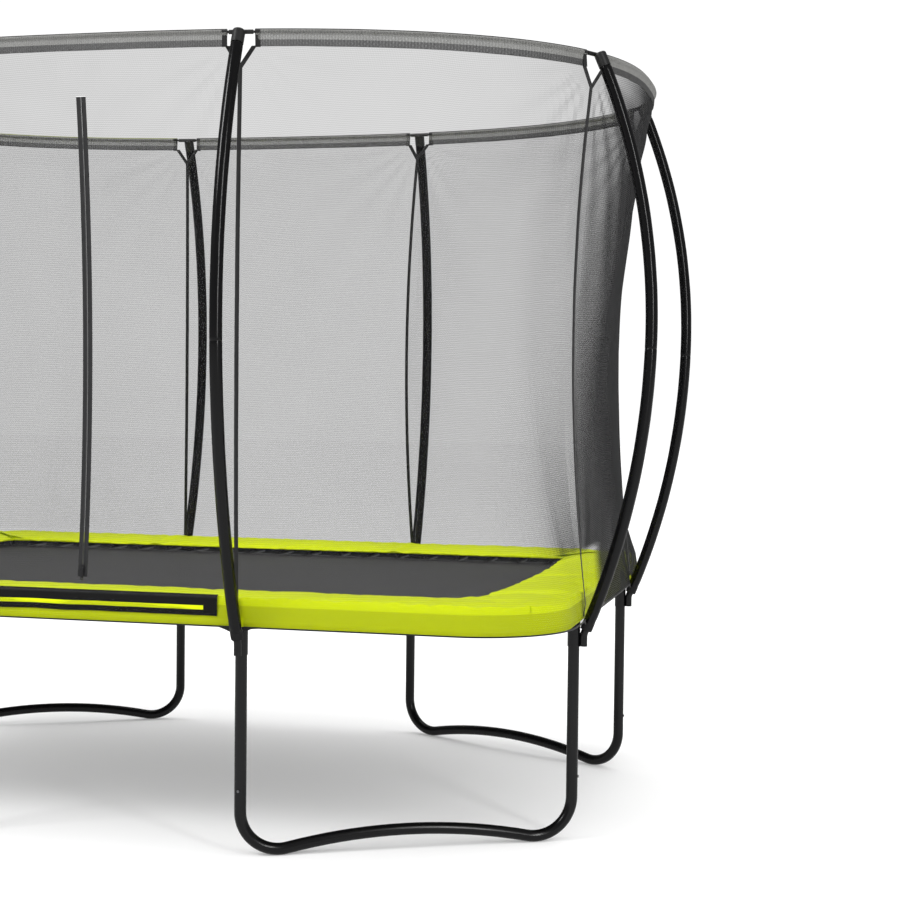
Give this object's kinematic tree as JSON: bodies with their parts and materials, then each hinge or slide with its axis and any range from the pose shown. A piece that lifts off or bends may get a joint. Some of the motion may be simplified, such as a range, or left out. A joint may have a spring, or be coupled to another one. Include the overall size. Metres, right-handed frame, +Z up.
{
  "type": "backyard trampoline",
  "caption": "Rectangular backyard trampoline on bent tube legs with sprung mat, lime safety pads, curved padded poles and a ring-topped enclosure net with a zip door.",
  "frame": {"origin": "on the ground, directly under the middle of the frame ring", "axes": "+X along the long side, +Z up, -Y the side with the door and the entry marker on the pad"},
  "size_m": [3.53, 2.62, 2.5842],
  "materials": {
    "frame_tube": "satin black powder coat",
    "socket_steel": "satin black powder coat over welds",
    "leg_tube": "gloss black powder coat",
    "pole_tube": "black powder coat",
    "pole_sleeve": "gloss black PVC over foam",
    "cap_plastic": "moulded black plastic",
    "rod_fibreglass": "pale fibreglass",
    "net_mesh": "fine woven polyester mesh",
    "webbing": "ribbed polyester webbing",
    "zinc_screw": "bright zinc",
    "zinc_wire": "galvanised wire",
    "spring_steel": "galvanised spring wire",
    "mat_fabric": "woven polypropylene",
    "pad_pvc": "lime PVC over foam",
    "zip_tape": "black woven tape with moulded teeth",
    "zip_metal": "black lacquer on zinc"
  },
  "bodies": {
    "structure": {"door_zip_tape": "zip_tape", "frame_corner_front_left": "frame_tube", "frame_corner_front_right": "frame_tube", "frame_corner_rear_left": "frame_tube", "frame_corner_rear_right": "frame_tube", "frame_rail_front": "frame_tube", "frame_rail_left": "frame_tube", "frame_rail_rear": "frame_tube", "frame_rail_right": "frame_tube", "frame_screws": "zinc_screw", "leg_base_front_left": "leg_tube", "leg_base_front_right": "leg_tube", "leg_base_rear_left": "leg_tube", "leg_base_rear_right": "leg_tube", "leg_upright_front_left": "leg_tube", "leg_upright_front_right": "leg_tube", "leg_upright_left_front": "leg_tube", "leg_upright_left_rear": "leg_tube", "leg_upright_rear_left": "leg_tube", "leg_upright_rear_right": "leg_tube", "leg_upright_right_front": "leg_tube", "leg_upright_right_rear": "leg_tube", "net_straps": "webbing", "pad_front": "pad_pvc", "pad_left": "pad_pvc", "pad_rear": "pad_pvc", "pad_right": "pad_pvc", "pole_caps": "cap_plastic", "pole_lower_front_left": "pole_tube", "pole_lower_front_right": "pole_tube", "pole_lower_left_front": "pole_tube", "pole_lower_left_rear": "pole_tube", "pole_lower_rear_left": "pole_tube", "pole_lower_rear_right": "pole_tube", "pole_lower_right_front": "pole_tube", "pole_lower_right_rear": "pole_tube", "pole_padding": "pole_sleeve", "pole_upper_front_left": "pole_tube", "pole_upper_front_right": "pole_tube", "pole_upper_left_front": "pole_tube", "pole_upper_left_rear": "pole_tube", "pole_upper_rear_left": "pole_tube", "pole_upper_rear_right": "pole_tube", "pole_upper_right_front": "pole_tube", "pole_upper_right_rear": "pole_tube", "ring_rods": "rod_fibreglass", "safety_net": "net_mesh", "springs": "spring_steel", "t_socket_front_left": "socket_steel", "t_socket_front_right": "socket_steel", "t_socket_left_front": "socket_steel", "t_socket_left_rear": "socket_steel", "t_socket_rear_left": "socket_steel", "t_socket_rear_right": "socket_steel", "t_socket_right_front": "socket_steel", "t_socket_right_rear": "socket_steel"},
    "mat": {"jumping_mat": "mat_fabric", "mat_v_rings": "zinc_wire"},
    "zip_slider": {"zip_slider": "zip_metal"},
    "zip_pull": {"zip_pull": "zip_metal"}
  },
  "joints": [
    {"name": "mat_bounce", "type": "slide", "parent": "structure", "child": "mat", "axis": [0, 0, 1], "range_m": [-0.15, 0.01], "stiffness_N_per_m": 6000, "deforming": ["springs"]},
    {"name": "zip_travel", "type": "hinge", "parent": "structure", "child": "zip_slider", "pos_m": [0, -7.57322, 1.52127], "axis": [1, 0, 0], "range_deg": [0, 12.8]},
    {"name": "zip_pull_swing", "type": "hinge", "parent": "zip_slider", "child": "zip_pull", "pos_m": [0, -1.07786, 0.8996], "axis": [1, 0, 0], "range_deg": [-90, 0]}
  ]
}
